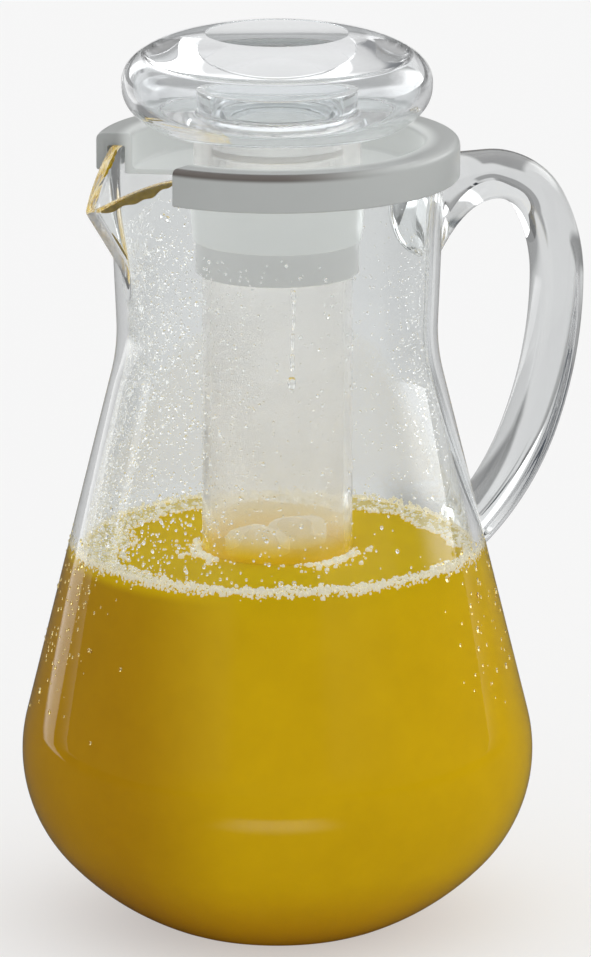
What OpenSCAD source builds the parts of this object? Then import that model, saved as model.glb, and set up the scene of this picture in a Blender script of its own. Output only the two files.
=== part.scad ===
// Clear pitcher with a lid, a lift-out ice tube and a mushroom knob
// Millimetres, base on z = 0, spout toward -X, handle toward +X

/* [Vessel] */
// Height of the rim
vessel_h = 246; // [230:1:262]
// Largest outside radius
belly_r = 80; // [74:0.5:88]
// Height of the widest place
belly_z = 54.6; // [50:0.2:60]
// Radius of the belly curve
belly_round = 48; // [42:0.5:52]
// Radius of the curve under the belly
sole_round = 86.7; // [80:0.1:98]
// Radius of the flat foot
foot_r = 35; // [31:0.5:39]
// Radius at the waist
waist_r = 49.5; // [47.5:0.25:51.5]
// Height of the waist
waist_z = 184; // [174:1:192]
// Radius of the waist curve
waist_round = 60; // [30:1:90]
// Outside radius of the rim
rim_r = 52; // [50.5:0.25:55]
// Side wall thickness
wall = 3.5; // [2.8:0.1:4.2]
// Floor thickness
floor_t = 4.5; // [3.6:0.1:6]
// Level of the drink
juice_z = 119.6; // [90:0.2:135]
// Film between the drink and the wall
juice_gap = 0.1; // [0.05:0.05:0.3]

/* [Spout] */
// Tip of the spout from the axis
spout_reach = 65; // [61:0.5:69]
// Half width of the spout at the rim, in degrees
spout_turn = 27; // [22:0.5:28.5]
// Drop of the tip below the rim
spout_droop = 13.5; // [9:0.5:17]
// Bend of the lip toward the tip
lip_power = 1.5; // [1:0.1:2]
// Drop of the keel's end below the rim
spout_depth = 34; // [29:0.5:40]
// Wall of the spout
spout_wall = 2.6; // [2:0.1:3]
// Inside radius of the tip
spout_tip_r = 2; // [1:0.1:3]
// Inside radius of the groove at its ends
spout_edge_r = 0.8; // [0.5:0.1:1.2]

/* [Handle] */
// Thickness of the bar toward the hand
handle_t = 15; // [13:0.5:17]
// Width of the bar
handle_w = 20; // [18:0.5:24]
// Middle of the bar below the rim
handle_drop = 13.9; // [12:0.1:18]
// End of the straight part from the axis
handle_run = 73; // [70:0.5:78]
// Radius of the shoulder
shoulder_round = 19; // [16:0.5:24]
// Turn of the shoulder in degrees
shoulder_turn = 60; // [50:1:68]
// Radius of the knuckle below the shoulder
knuckle_round = 49.5; // [44:0.5:56]
// Radius of the back
back_round = 128; // [115:1:145]
// Turn of the back in degrees
back_turn = 22; // [19:0.5:24]
// Radius of the tail
tail_round = 83; // [76:1:92]
// Turn of the tail in degrees
tail_turn = 31; // [28:0.5:34]
// Thickness of the tail's end
tail_t = 13.4; // [12:0.2:15]
// Growth of the bar downward at the neck
flare_down = 16; // [10:0.5:18]
// Growth of the bar to each side at the neck
flare_side = 6; // [3:0.5:8]
// Length of the growth from the neck
flare_run = 22; // [16:0.5:26]
// Fullness of the bar's section
bar_power = 2.4; // [2:0.1:3]
// Gap between the bar and the lid
handle_gap = 0.8; // [0.5:0.1:2]

/* [Lid] */
// Thickness at the outer band
lid_t = 4; // [3:0.1:5]
// Width of the outer band
band_w = 11.3; // [10:0.1:13]
// Rounding of the band's inner edge
band_round = 2; // [0.5:0.1:2.6]
// Underside of the bowl's floor below the rim
bowl_drop = 8.8; // [7:0.1:10]
// Thickness of the bowl's floor
bowl_t = 1.6; // [1.2:0.1:2.4]
// Rounding between the bowl's wall and floor
bowl_round = 1.5; // [0.5:0.1:3]
// Gap between the bowl and the neck
bowl_gap = 0.5; // [0.3:0.05:1]
// Gap between skirt and rim
skirt_gap = 0.8; // [0.5:0.1:1.2]
// Wall of the skirt
skirt_t = 3.7; // [2.8:0.1:4.5]
// Skirt end below the rim
skirt_drop = 7.7; // [5:0.1:10]
// Rounding of the top edge
lid_round = 2.4; // [1:0.1:2.8]
// Half width of the pouring cut-out in degrees
pour_turn = 31.5; // [31:0.5:35]

/* [Collar] */
// Wall of the sleeve at the lid
sleeve_t = 3.7; // [3:0.1:5]
// Wall of the sleeve at its end
sleeve_end_t = 2.4; // [2.2:0.1:2.8]
// Length of the sleeve below the rim
sleeve_drop = 27.2; // [22:0.2:34]
// Wall of the collar ring
collar_t = 1.4; // [1.2:0.1:1.8]
// Visible length of the collar ring
collar_h = 10.3; // [7:0.1:14]
// Length of the collar ring inside the sleeve
collar_in = 5; // [3:0.5:8]

/* [Ice tube] */
// Outside radius of the tube
tube_r = 23.4; // [21.5:0.1:23.8]
// Wall of the tube
tube_t = 2; // [1.6:0.1:2.4]
// Bottom of the tube above the table
tube_z = 45; // [36:1:60]
// Height of the tube's head above the lid's floor
head_h = 15.8; // [14.6:0.1:18]
// Ledge of the tube's head on the lid
head_ledge = 2.2; // [1.6:0.1:3]
// Sliding gap round the tube
fit_gap = 0.4; // [0.3:0.05:0.5]
// Gap between ice and tube
ice_gap = 0.35; // [0.3:0.05:0.6]
// Level of the ice column
ice_z = 116; // [80:1:128]
// Radius of the large ice lump
lump_r = 12; // [9:0.5:14]
// Radius of the small ice lump
chip_r = 9; // [6:0.5:11]
// Gap between the lumps and the side of the ice
lump_gap = 1; // [0.5:0.1:2]

/* [Knob] */
// Outside radius of the knob
knob_r = 48; // [44:0.5:52]
// Height from the widest place to the top
knob_up = 17; // [15:0.5:20]
// Height from the widest place to the virtual lower pole
knob_down = 19.2; // [17:0.2:22]
// Height of the widest place above the knob's underside
knob_seat = 12.6; // [11.5:0.1:13.5]
// Fullness of the knob's curve
knob_power = 2.3; // [2:0.05:2.6]
// Wall of the knob at its widest place
knob_t = 3.5; // [2.6:0.1:4]
// Height of the hollow's flat ceiling above the widest place
roof_h = 6.8; // [3:0.1:10]
// Thickness of the base disc
base_t = 3; // [2.4:0.1:3.4]
// Width of the dome's turned-in edge
base_step = 2.5; // [1.8:0.1:3]
// Outside radius of the hub
hub_r = 24.8; // [22:0.1:27]
// Wall of the hub
hub_t = 3; // [1.5:0.1:4]
// Height of the hub above the base disc
hub_h = 8.7; // [4:0.1:12]
// Length of the spigot
spigot_h = 14.5; // [10:0.5:16]
// Wall of the spigot
spigot_t = 3; // [2.9:0.1:3.6]
// Thickness of the seal ring
seal_t = 2.2; // [1.8:0.1:2.4]
// Gap between seal ring and tube
seal_gap = 0.3; // [0.25:0.05:0.35]
// Radius of the round mark on top
mark_r = 22; // [16:0.5:26]
// Depth of the round mark
mark_depth = 1.6; // [1.3:0.1:2.2]

/* [Hidden] */
$fn = 96;
hull_fn = 32;
over = vessel_h / 200;
arc_steps = 10;
dome_steps = 14;
run_steps = 9;
bend_steps = 7;
bar_sides = 24;

function arc_points(cx, cz, radius, from, to, steps) = [
  for (i = [0:steps])
    let (a = from + (to - from) * i / steps)
    [cx + radius * cos(a), cz + radius * sin(a)]
];

// Vessel curve: sole, belly, cone, waist and neck
belly_cx = belly_r - belly_round;
curve_step = sole_round - belly_round;
sole_a = 2 * curve_step * (foot_r - belly_cx);
sole_b = 2 * curve_step * belly_z;
sole_k = sole_round ^ 2 - (foot_r - belly_cx) ^ 2 - belly_z ^ 2 - curve_step ^ 2;
sole_turn = atan2(sole_b, sole_a) - acos(sole_k / norm([sole_a, sole_b]));
sole_cx = belly_cx - curve_step * cos(sole_turn);
sole_cz = belly_z + curve_step * sin(sole_turn);
waist_dx = waist_r - belly_cx;
waist_dz = waist_z - belly_z;
cone_turn = atan2(waist_dz, waist_dx) - acos(belly_round / norm([waist_dx, waist_dz]));
neck_turn = atan2(rim_r - waist_r, vessel_h - waist_z);
waist_far = waist_round / cos((cone_turn + neck_turn) / 2);
waist_mid = (cone_turn - neck_turn) / 2;
waist_cx = waist_r + waist_far * cos(waist_mid);
waist_cz = waist_z + waist_far * sin(waist_mid);

function vessel_curve(inset, low) =
  let (
    sole_in = sole_round - inset,
    belly_in = belly_round - inset,
    waist_in = waist_round + inset,
    low_turn = asin((sole_cz - low) / sole_in),
    top_r = rim_r - inset / cos(neck_turn)
  )
  concat(
    [[0, low]],
    arc_points(sole_cx, sole_cz, sole_in, -low_turn, -sole_turn, arc_steps),
    arc_points(belly_cx, belly_z, belly_in, -sole_turn, cone_turn, arc_steps),
    arc_points(waist_cx, waist_cz, waist_in, 180 + cone_turn, 180 - neck_turn, arc_steps),
    [[top_r, vessel_h], [top_r + over * tan(neck_turn), vessel_h + over], [0, vessel_h + over]]
  );

function neck_at(z) = rim_r - (vessel_h - z) * tan(neck_turn);

// Spout points: centre of a ball at each end
spout_ball_r = spout_wall + spout_edge_r;
spout_side_r = rim_r - spout_ball_r;
spout_side_x = spout_side_r * cos(spout_turn);
spout_side_y = spout_side_r * sin(spout_turn);
keel_z = vessel_h - spout_depth;
keel_x = neck_at(keel_z) - spout_ball_r;
tip_ball_r = spout_wall + spout_tip_r;
tip_x = spout_reach - tip_ball_r;
tip_z = vessel_h - spout_droop;
lip_x = rim_r * cos(pour_turn);
lip_far_share = 1.25;
lip_points = [
  for (i = [0:arc_steps])
    let (s = lip_far_share * i / arc_steps)
    [-lip_x - (spout_reach - lip_x) * s, vessel_h - spout_droop * s ^ lip_power]
];

// Handle arcs: middle line starts along +X and turns down
handle_z = vessel_h - handle_drop;
knuckle_turn = 90 - shoulder_turn;
handle_radii = [shoulder_round, knuckle_round, back_round, tail_round];
handle_turns = [shoulder_turn, knuckle_turn, back_turn, tail_turn];

function turn_before(n) = n == 0 ? 0 : turn_before(n - 1) + handle_turns[n - 1];
function arc_start(n) = n == 0 ? [handle_run, handle_z] : arc_end(n - 1);
function arc_middle(n) =
  arc_start(n) - handle_radii[n] * [sin(turn_before(n)), cos(turn_before(n))];
function arc_end(n) =
  arc_middle(n) + handle_radii[n] * [sin(turn_before(n + 1)), cos(turn_before(n + 1))];

// Bar sections: [x, z, turn, half thickness, half width]
bar_start = rim_r - 2 * wall;
flare_start = rim_r - wall / 3;
function flare_at(x) = x < flare_start ? 1 : max(0, 1 - (x - flare_start) / flare_run) ^ 2;
run_sections = [
  for (i = [0:run_steps - 1])
    let (x = bar_start + (handle_run - bar_start) * i / run_steps, f = flare_at(x))
    [x, handle_z - flare_down * f / 2, 0, (handle_t + flare_down * f) / 2, handle_w / 2 + flare_side * f]
];
function arc_sections(n, thick_from, thick_to) = [
  for (i = [0:bend_steps - 1])
    let (
      s = i / bend_steps,
      turn = turn_before(n) + handle_turns[n] * s,
      at = arc_middle(n) + handle_radii[n] * [sin(turn), cos(turn)]
    )
    [at[0], at[1], turn, (thick_from + (thick_to - thick_from) * s) / 2, handle_w / 2]
];
tail_end = arc_end(3);
bar_sections = concat(
  run_sections,
  arc_sections(0, handle_t, handle_t),
  arc_sections(1, handle_t, handle_t),
  arc_sections(2, handle_t, handle_t),
  arc_sections(3, handle_t, tail_t),
  [[tail_end[0], tail_end[1], turn_before(4), tail_t / 2, handle_w / 2]]
);
function full_cos(a) = sign(cos(a)) * abs(cos(a)) ^ (2 / bar_power);
function full_sin(a) = sign(sin(a)) * abs(sin(a)) ^ (2 / bar_power);
function section_point(c, a) =
  let (out = c[3] * full_cos(a))
  [c[0] + out * sin(c[2]), c[4] * full_sin(a), c[1] + out * cos(c[2])];
bar_points = [
  for (c = bar_sections)
    for (j = [0:bar_sides - 1]) section_point(c, 360 * j / bar_sides)
];
bar_last = bar_sides * (len(bar_sections) - 1);
bar_faces = concat(
  [[for (j = [0:bar_sides - 1]) j]],
  [for (i = [0:len(bar_sections) - 2])
    for (j = [0:bar_sides - 1])
      let (a = i * bar_sides + j, b = i * bar_sides + (j + 1) % bar_sides)
      [a, a + bar_sides, b]],
  [for (i = [0:len(bar_sections) - 2])
    for (j = [0:bar_sides - 1])
      let (a = i * bar_sides + j, b = i * bar_sides + (j + 1) % bar_sides)
      [b, a + bar_sides, b + bar_sides]],
  [[for (j = [bar_sides - 1:-1:0]) bar_last + j]]
);

// Lid levels and radii
lid_top = vessel_h + lid_t;
bowl_low = vessel_h - bowl_drop;
bowl_z = bowl_low + bowl_t;
bowl_r = neck_at(bowl_low) - wall / cos(neck_turn) - bowl_gap;
skirt_in_r = rim_r + skirt_gap;
skirt_out_r = skirt_in_r + skirt_t;
skirt_end = vessel_h - skirt_drop;
dish_r = skirt_out_r - band_w;
bore_r = tube_r + fit_gap;
sleeve_r = bore_r + sleeve_t;
sleeve_end_r = bore_r + sleeve_end_t;
sleeve_end = vessel_h - sleeve_drop;
collar_r = bore_r + collar_t;
cut_low = min(skirt_end, bowl_low) - over;

// Tube and knob levels
tube_in_r = tube_r - tube_t;
ice_r = tube_in_r - ice_gap;
head_r = bore_r + head_ledge;
seat_z = bowl_z + head_h;
knob_z = seat_z + knob_seat;
disc_top = seat_z + base_t;
spigot_r = tube_in_r - fit_gap;
seal_r = tube_in_r - seal_gap - seal_t / 2;
seal_z = seat_z - spigot_h / 2;

function full_at(share) = (1 - share ^ knob_power) ^ (1 / knob_power);
knob_low_share = knob_seat / knob_down;
knob_low_r = knob_r * full_at(knob_low_share);
hollow_r = knob_r - knob_t;
hollow_up = knob_up - knob_t;
hollow_down = knob_down - knob_t;
hollow_low_share = (knob_seat - base_t) / hollow_down;
hollow_high_share = roof_h / hollow_up;
hub_top = disc_top + hub_h;
base_r = knob_low_r - base_step;

function oval_points(radius, height, steps) = [
  for (i = [0:steps])
    let (a = 90 * i / steps)
    [radius * sin(a) ^ (2 / knob_power), height * cos(a) ^ (2 / knob_power)]
];
function oval_low(radius, height, share, steps) = [
  for (i = [1:steps])
    let (s = share * i / steps)
    [radius * full_at(s), -height * s]
];
function lifted(points) = [for (p = points) [p[0], p[1] + knob_z]];
function backward(points) = [for (i = [len(points) - 1:-1:0]) points[i]];

module vessel_solid() {
  intersection() {
    rotate_extrude() polygon(vessel_curve(0, 0));
    cylinder(h = vessel_h, r = belly_r + over);
  }
}

module spout_form(inset, rise) {
  hull() {
    for (lift = [0, rise]) {
      for (side = [-1, 1])
        translate([-spout_side_x, side * spout_side_y, vessel_h + lift])
          sphere(r = spout_ball_r - inset, $fn = hull_fn);
      translate([-tip_x, 0, tip_z + lift]) sphere(r = tip_ball_r - inset, $fn = hull_fn);
    }
    translate([-keel_x, 0, keel_z]) sphere(r = spout_ball_r - inset, $fn = hull_fn);
  }
}

module above_lip() {
  translate([0, belly_r, 0])
    rotate([90, 0, 0])
    linear_extrude(height = 2 * belly_r)
    polygon(concat(lip_points, [[lip_points[arc_steps][0], vessel_h + over], [-lip_x, vessel_h + over]]));
}

module pitcher_body() {
  color([0.86, 0.9, 0.92, 0.35])
  difference() {
    union() {
      vessel_solid();
      spout_form(0, 0);
    }
    rotate_extrude() polygon(vessel_curve(wall, floor_t));
    spout_form(spout_wall, spout_droop);
    above_lip();
    translate([0, 0, vessel_h]) cylinder(h = belly_r, r = belly_r);
  }
}

module handle() {
  color([0.84, 0.88, 0.92, 0.35])
  difference() {
    polyhedron(points = bar_points, faces = bar_faces);
    vessel_solid();
    translate([0, 0, skirt_end - handle_gap])
      cylinder(h = belly_r, r = skirt_out_r + handle_gap);
  }
}

module juice() {
  color([0.86, 0.68, 0.02])
  difference() {
    intersection() {
      rotate_extrude() polygon(vessel_curve(wall + juice_gap, floor_t + juice_gap));
      cylinder(h = juice_z, r = belly_r);
    }
    tube_solid(tube_r + fit_gap);
  }
}

module tube_solid(radius) {
  translate([0, 0, tube_z + tube_r]) sphere(r = radius);
  translate([0, 0, tube_z + tube_r]) cylinder(h = seat_z - tube_z - tube_r, r = radius);
}

module lid_ring() {
  rotate_extrude()
    polygon(concat(
      [[bore_r, bowl_z], [bore_r, sleeve_end + collar_in], [collar_r, sleeve_end + collar_in],
       [collar_r, sleeve_end], [sleeve_end_r, sleeve_end], [sleeve_r, bowl_low],
       [bowl_r, bowl_low], [bowl_r, vessel_h],
       [skirt_in_r, vessel_h], [skirt_in_r, skirt_end], [skirt_out_r, skirt_end]],
      arc_points(skirt_out_r - lid_round, lid_top - lid_round, lid_round, 0, 90, arc_steps),
      arc_points(dish_r + band_round, lid_top - band_round, band_round, 90, 180, arc_steps),
      arc_points(dish_r - bowl_round, bowl_z + bowl_round, bowl_round, 0, -90, arc_steps)
    ));
}

module pour_cut() {
  far = 2 * skirt_out_r;
  difference() {
    translate([0, 0, cut_low])
      linear_extrude(height = lid_top - cut_low + over)
      polygon([[0, 0], [-far * cos(pour_turn), far * sin(pour_turn)],
        [-far * cos(pour_turn), -far * sin(pour_turn)]]);
    cylinder(h = 2 * vessel_h, r = sleeve_r);
  }
}

module lid_cover() {
  color([0.72, 0.74, 0.73])
  difference() {
    lid_ring();
    pour_cut();
  }
}

module tube_collar() {
  color([0.76, 0.78, 0.77])
  rotate_extrude()
    polygon([[bore_r, sleeve_end - collar_h], [sleeve_end_r - sleeve_end_t / 3, sleeve_end - collar_h],
      [sleeve_end_r - sleeve_end_t / 3, sleeve_end], [collar_r, sleeve_end],
      [collar_r, sleeve_end + collar_in], [bore_r, sleeve_end + collar_in]]);
}

module ice_tube() {
  color([0.9, 0.94, 0.96, 0.35])
  rotate_extrude()
    polygon(concat(
      arc_points(0, tube_z + tube_r, tube_r, -90, 0, arc_steps),
      [[tube_r, bowl_z], [head_r, bowl_z], [head_r, seat_z], [tube_in_r, seat_z]],
      arc_points(0, tube_z + tube_r, tube_in_r, 0, -90, arc_steps)
    ));
}

module ice_core() {
  color([0.93, 0.96, 0.97])
  union() {
    rotate_extrude()
      polygon(concat(
        arc_points(0, tube_z + tube_r, ice_r, -90, 0, arc_steps),
        [[ice_r, ice_z], [0, ice_z]]
      ));
    translate([ice_r - lump_r - lump_gap, 0, ice_z]) sphere(r = lump_r);
    translate([chip_r + lump_gap - ice_r, 0, ice_z]) sphere(r = chip_r);
  }
}

module knob_dome() {
  color([0.9, 0.93, 0.95, 0.35])
  difference() {
    rotate_extrude()
      polygon(concat(
        lifted(oval_points(knob_r, knob_up, dome_steps)),
        lifted(oval_low(knob_r, knob_down, knob_low_share, dome_steps)),
        [[base_r, seat_z], [base_r, disc_top]],
        lifted(backward(oval_low(hollow_r, hollow_down, hollow_low_share, dome_steps))),
        lifted(oval_low(hollow_r, -hollow_up, hollow_high_share, dome_steps)),
        [[0, knob_z + roof_h]]
      ));
    translate([0, 0, knob_z + knob_up - mark_depth]) cylinder(h = knob_up, r = mark_r);
  }
}

module knob_base() {
  color([0.88, 0.92, 0.94, 0.35])
  rotate_extrude()
    polygon([[0, seat_z], [spigot_r - spigot_t, seat_z], [spigot_r - spigot_t, seat_z - spigot_h],
      [spigot_r, seat_z - spigot_h], [spigot_r, seal_z - seal_t / 2],
      [seal_r - seal_t / 2, seal_z - seal_t / 2], [seal_r - seal_t / 2, seal_z + seal_t / 2],
      [spigot_r, seal_z + seal_t / 2], [spigot_r, seat_z],
      [base_r, seat_z], [base_r, disc_top], [hub_r, disc_top], [hub_r, hub_top],
      [hub_r - hub_t, hub_top], [hub_r - hub_t, disc_top], [0, disc_top]]);
}

module knob_seal() {
  color([0.93, 0.93, 0.9])
  translate([0, 0, seal_z])
    rotate_extrude()
    translate([seal_r, 0]) circle(d = seal_t);
}

pitcher_body();
handle();
juice();
lid_cover();
tube_collar();
ice_tube();
ice_core();
knob_dome();
knob_base();
knob_seal();
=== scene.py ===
import math
import bmesh
import bpy
import numpy as np
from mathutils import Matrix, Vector


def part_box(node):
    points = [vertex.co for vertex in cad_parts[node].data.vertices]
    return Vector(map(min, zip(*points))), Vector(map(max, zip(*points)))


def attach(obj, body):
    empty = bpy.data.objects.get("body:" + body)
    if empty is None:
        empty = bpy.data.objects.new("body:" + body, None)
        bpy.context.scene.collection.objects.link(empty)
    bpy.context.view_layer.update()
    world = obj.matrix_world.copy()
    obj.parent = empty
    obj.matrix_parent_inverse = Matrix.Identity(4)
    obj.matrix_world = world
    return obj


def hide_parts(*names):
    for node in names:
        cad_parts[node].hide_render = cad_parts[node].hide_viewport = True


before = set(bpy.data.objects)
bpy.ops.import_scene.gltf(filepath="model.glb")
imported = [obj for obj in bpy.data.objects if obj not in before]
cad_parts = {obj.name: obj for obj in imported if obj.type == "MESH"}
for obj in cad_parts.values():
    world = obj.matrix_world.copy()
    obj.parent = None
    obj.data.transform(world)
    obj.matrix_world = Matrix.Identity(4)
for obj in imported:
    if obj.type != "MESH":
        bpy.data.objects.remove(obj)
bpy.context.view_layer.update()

scene = bpy.context.scene
mm = 0.001
pictureTurn = 24  # degrees from the X axis back to the picture's right-hand side
print("frame loaded:", len(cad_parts), "nodes")


# mesh tools

def gridQuads(rows, cols, closeRows=False):
    # one quad between each pair of neighbouring rows and columns; columns wrap round, rows where they close
    r = np.arange(rows if closeRows else rows - 1)[:, None]
    c = np.arange(cols)[None, :]
    rNext, cNext = (r + 1) % rows, (c + 1) % cols
    corners = [r * cols + c, r * cols + cNext, rNext * cols + cNext, rNext * cols + c]
    return np.stack([np.broadcast_to(k, (r.size, c.size)).ravel() for k in corners], axis=1)


def withQuads(points, closeRows=False):
    # a grid of points together with its quads
    return points, gridQuads(*points.shape[:2], closeRows)


def repeatedGrids(points):
    # many small grids of one size as one pair of points and quads
    count, rows, cols = points.shape[:3]
    shift = np.arange(count)[:, None, None] * rows * cols
    return points.reshape(-1, 3), (gridQuads(rows, cols)[None] + shift).reshape(-1, 4)


def buildMesh(name, points, quads, ends=(), sharpAngle=None):
    # whole arrays into one mesh: poles and seams merged, faces turned outward, smooth shading
    mesh = bpy.data.meshes.new(name)
    mesh.from_pydata(np.reshape(points, (-1, 3)).tolist(), [], quads.tolist() + list(ends))
    work = bmesh.new()
    work.from_mesh(mesh)
    bmesh.ops.remove_doubles(work, verts=work.verts, dist=1e-7)
    bmesh.ops.recalc_face_normals(work, faces=work.faces)
    work.to_mesh(mesh)
    work.free()
    mesh.polygons.foreach_set("use_smooth", np.ones(len(mesh.polygons), dtype=bool))
    if sharpAngle:
        mesh.set_sharp_from_angle(angle=math.radians(sharpAngle))
    return mesh


def addPiece(name, mesh, material, body, slotName, *nodes):
    obj = bpy.data.objects.new(name, mesh)
    scene.collection.objects.link(obj)
    mesh.materials.append(material)
    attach(obj, body)
    if nodes:
        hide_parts(*nodes)
    print("piece", name, len(mesh.polygons), "faces")


def arcPoints(cx, cz, radius, fromDeg, toDeg, count):
    # points at equal steps of angle on a circle round (cx, cz)
    a = np.radians(np.linspace(fromDeg, toDeg, count))
    return np.stack([cx + radius * np.cos(a), cz + radius * np.sin(a)], axis=1)


def roundCorners(outline, radius, steps=5):
    # each corner of a closed outline becomes a quadratic curve that starts and ends one radius away from it
    p = np.asarray(outline, float)
    reach = np.broadcast_to(np.asarray(radius, float), len(p))[:, None]
    before, after = np.roll(p, 1, axis=0) - p, np.roll(p, -1, axis=0) - p
    lenB = np.linalg.norm(before, axis=1, keepdims=True)
    lenA = np.linalg.norm(after, axis=1, keepdims=True)
    start = p + before / lenB * np.minimum(reach, 0.45 * lenB)
    end = p + after / lenA * np.minimum(reach, 0.45 * lenA)
    t = np.linspace(0, 1, steps)[None, :, None]
    curve = (1 - t) ** 2 * start[:, None] + 2 * t * (1 - t) * p[:, None] + t ** 2 * end[:, None]
    return curve.reshape(-1, 2)


def revolve(profile, cols=128):
    # a profile of (radius, height) carried once round the Z axis
    a = np.linspace(0, 2 * np.pi, cols, endpoint=False)
    r, z = profile[:, :1], profile[:, 1:]
    return np.stack([r * np.cos(a), r * np.sin(a), z + 0 * a], axis=2)


def revolvePiece(name, profile, material, body, slotName, *nodes, cols=128, closed=False, sharpAngle=None):
    mesh = buildMesh(name, *withQuads(revolve(profile, cols), closed), sharpAngle=sharpAngle)
    addPiece(name, mesh, material, body, slotName, *nodes)


def joinGrids(grids):
    # several (points, quads) pairs as one pair, with each set of quads shifted past the points before it
    counts = np.cumsum([0] + [np.reshape(p, (-1, 3)).shape[0] for p, q in grids])
    points = np.concatenate([np.reshape(p, (-1, 3)) for p, q in grids])
    quads = np.concatenate([q + shift for (p, q), shift in zip(grids, counts)])
    return points, quads


# shared finish groups

def newGroup(name, inputs, outputs):
    group = bpy.data.node_groups.new(name, "ShaderNodeTree")
    for label, kind, value in inputs:
        group.interface.new_socket(label, in_out="INPUT", socket_type=kind).default_value = value
    for label, kind in outputs:
        group.interface.new_socket(label, in_out="OUTPUT", socket_type=kind)
    return group, group.nodes.new("NodeGroupInput"), group.nodes.new("NodeGroupOutput")


def makeSmearGroup():
    # soft smears: noise stretched downward, as misted plastic has, turned into a roughness and a height
    group, gin, gout = newGroup(
        "smear",
        [("Scale", "NodeSocketFloat", 30.0), ("Low", "NodeSocketFloat", 0.0),
         ("High", "NodeSocketFloat", 0.1)],
        [("Roughness", "NodeSocketFloat"), ("Height", "NodeSocketFloat")])
    nodes, links = group.nodes, group.links
    place = nodes.new("ShaderNodeTexCoord")
    stretch = nodes.new("ShaderNodeMapping")
    stretch.inputs["Scale"].default_value = (1.0, 1.0, 0.35)
    noise = nodes.new("ShaderNodeTexNoise")
    noise.inputs["Detail"].default_value = 4.0
    spread = nodes.new("ShaderNodeMapRange")
    spread.inputs["From Min"].default_value = 0.35
    spread.inputs["From Max"].default_value = 0.7
    links.new(place.outputs["Object"], stretch.inputs["Vector"])
    links.new(stretch.outputs["Vector"], noise.inputs["Vector"])
    links.new(gin.outputs["Scale"], noise.inputs["Scale"])
    links.new(noise.outputs["Fac"], spread.inputs["Value"])
    links.new(gin.outputs["Low"], spread.inputs["To Min"])
    links.new(gin.outputs["High"], spread.inputs["To Max"])
    links.new(spread.outputs["Result"], gout.inputs["Roughness"])
    links.new(noise.outputs["Fac"], gout.inputs["Height"])
    return group


def makeMottleGroup():
    # two colours mixed by cloudy noise, so that no surface is one flat colour
    group, gin, gout = newGroup(
        "mottle",
        [("Scale", "NodeSocketFloat", 20.0), ("Dark", "NodeSocketColor", (0, 0, 0, 1)),
         ("Light", "NodeSocketColor", (1, 1, 1, 1))],
        [("Color", "NodeSocketColor"), ("Mask", "NodeSocketFloat")])
    nodes, links = group.nodes, group.links
    place = nodes.new("ShaderNodeTexCoord")
    noise = nodes.new("ShaderNodeTexNoise")
    noise.inputs["Detail"].default_value = 5.0
    noise.inputs["Roughness"].default_value = 0.6
    mix = nodes.new("ShaderNodeMix")
    mix.data_type = "RGBA"
    links.new(place.outputs["Object"], noise.inputs["Vector"])
    links.new(gin.outputs["Scale"], noise.inputs["Scale"])
    links.new(noise.outputs["Fac"], mix.inputs["Factor"])
    links.new(gin.outputs["Dark"], mix.inputs["A"])
    links.new(gin.outputs["Light"], mix.inputs["B"])
    links.new(mix.outputs["Result"], gout.inputs["Color"])
    links.new(noise.outputs["Fac"], gout.inputs["Mask"])
    return group


smearGroup = makeSmearGroup()
mottleGroup = makeMottleGroup()


def newMaterial(name):
    mat = bpy.data.materials.new(name)
    mat.use_nodes = True
    return mat, mat.node_tree, mat.node_tree.nodes["Principled BSDF"]


def grey(level):
    return (level, level, level, 1)


def addGroup(tree, group, **values):
    node = tree.nodes.new("ShaderNodeGroup")
    node.node_tree = group
    for label, value in values.items():
        node.inputs[label].default_value = value
    return node


def addBump(tree, bsdf, height, strength, distance):
    bump = tree.nodes.new("ShaderNodeBump")
    bump.inputs["Strength"].default_value = strength
    bump.inputs["Distance"].default_value = distance
    tree.links.new(height, bump.inputs["Height"])
    tree.links.new(bump.outputs["Normal"], bsdf.inputs["Normal"])


def putIn(tree, socket, value):
    # links another node's output, or sets a plain number or colour
    if isinstance(value, bpy.types.NodeSocket):
        tree.links.new(value, socket)
    else:
        socket.default_value = value


def mathNode(tree, operation, *values):
    # one sum on up to three values
    node = tree.nodes.new("ShaderNodeMath")
    node.operation = operation
    for socket, value in zip(node.inputs, values):
        putIn(tree, socket, value)
    return node.outputs["Value"]


def productNode(tree, *values):
    # all the values multiplied together
    result = values[0]
    for value in values[1:]:
        result = mathNode(tree, "MULTIPLY", result, value)
    return result


def mixColours(tree, share, first, second, kind="MIX"):
    # the second colour laid over the first, or multiplied with it, as far as the share says
    node = tree.nodes.new("ShaderNodeMix")
    node.data_type = "RGBA"
    node.blend_type = kind
    for label, value in (("Factor", share), ("A", first), ("B", second)):
        putIn(tree, node.inputs[label], value)
    return node.outputs["Result"]


def spreadOf(tree, value, low, high, kind="LINEAR"):
    # 0 at low and 1 at high, straight or as a smooth step between them
    node = tree.nodes.new("ShaderNodeMapRange")
    node.interpolation_type = kind
    node.inputs["From Min"].default_value = low
    node.inputs["From Max"].default_value = high
    tree.links.new(value, node.inputs["Value"])
    return node.outputs["Result"]


def stepOf(tree, value, low, high):
    # smooth step of one value
    return spreadOf(tree, value, low, high, "SMOOTHSTEP")


def turnedPlace(tree, degrees, kind="Object"):
    # coordinates turned about Z, so that X runs to the right in the picture, split into X, Y and Z
    place = tree.nodes.new("ShaderNodeTexCoord")
    turn = tree.nodes.new("ShaderNodeVectorRotate")
    turn.rotation_type = "Z_AXIS"
    turn.inputs["Angle"].default_value = math.radians(degrees)
    split = tree.nodes.new("ShaderNodeSeparateXYZ")
    tree.links.new(place.outputs[kind], turn.inputs["Vector"])
    tree.links.new(turn.outputs["Vector"], split.inputs["Vector"])
    return place, split


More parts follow.
